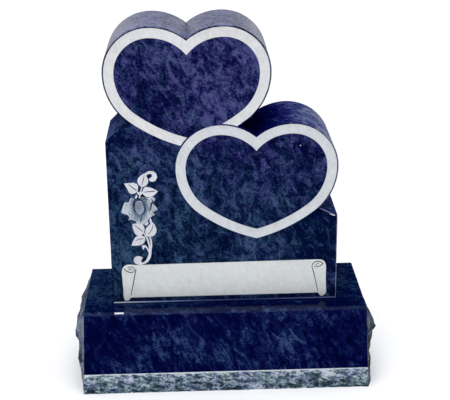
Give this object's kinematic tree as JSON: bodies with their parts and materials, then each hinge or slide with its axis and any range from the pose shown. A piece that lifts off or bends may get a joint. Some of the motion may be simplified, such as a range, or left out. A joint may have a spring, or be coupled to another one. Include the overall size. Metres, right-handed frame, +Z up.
{
  "type": "heart headstone",
  "caption": "Polished granite headstone cut as overlapping hearts with frosted borders, a rose spray and a blank scroll, standing on a base with rock-pitched ends.",
  "frame": {"origin": "middle of the base's underside, which stands on the ground", "axes": "+Z up, +X to the right seen from the front, the carved front faces -Y"},
  "size_m": [0.8285, 0.314, 1.0043],
  "materials": {
    "polished_granite": "polished",
    "base_granite": "polished top and front, rock-pitched ends",
    "frosted_granite": "frosted"
  },
  "bodies": {
    "root": {"tablet": "polished_granite", "base": "base_granite"}
  },
  "joints": []
}
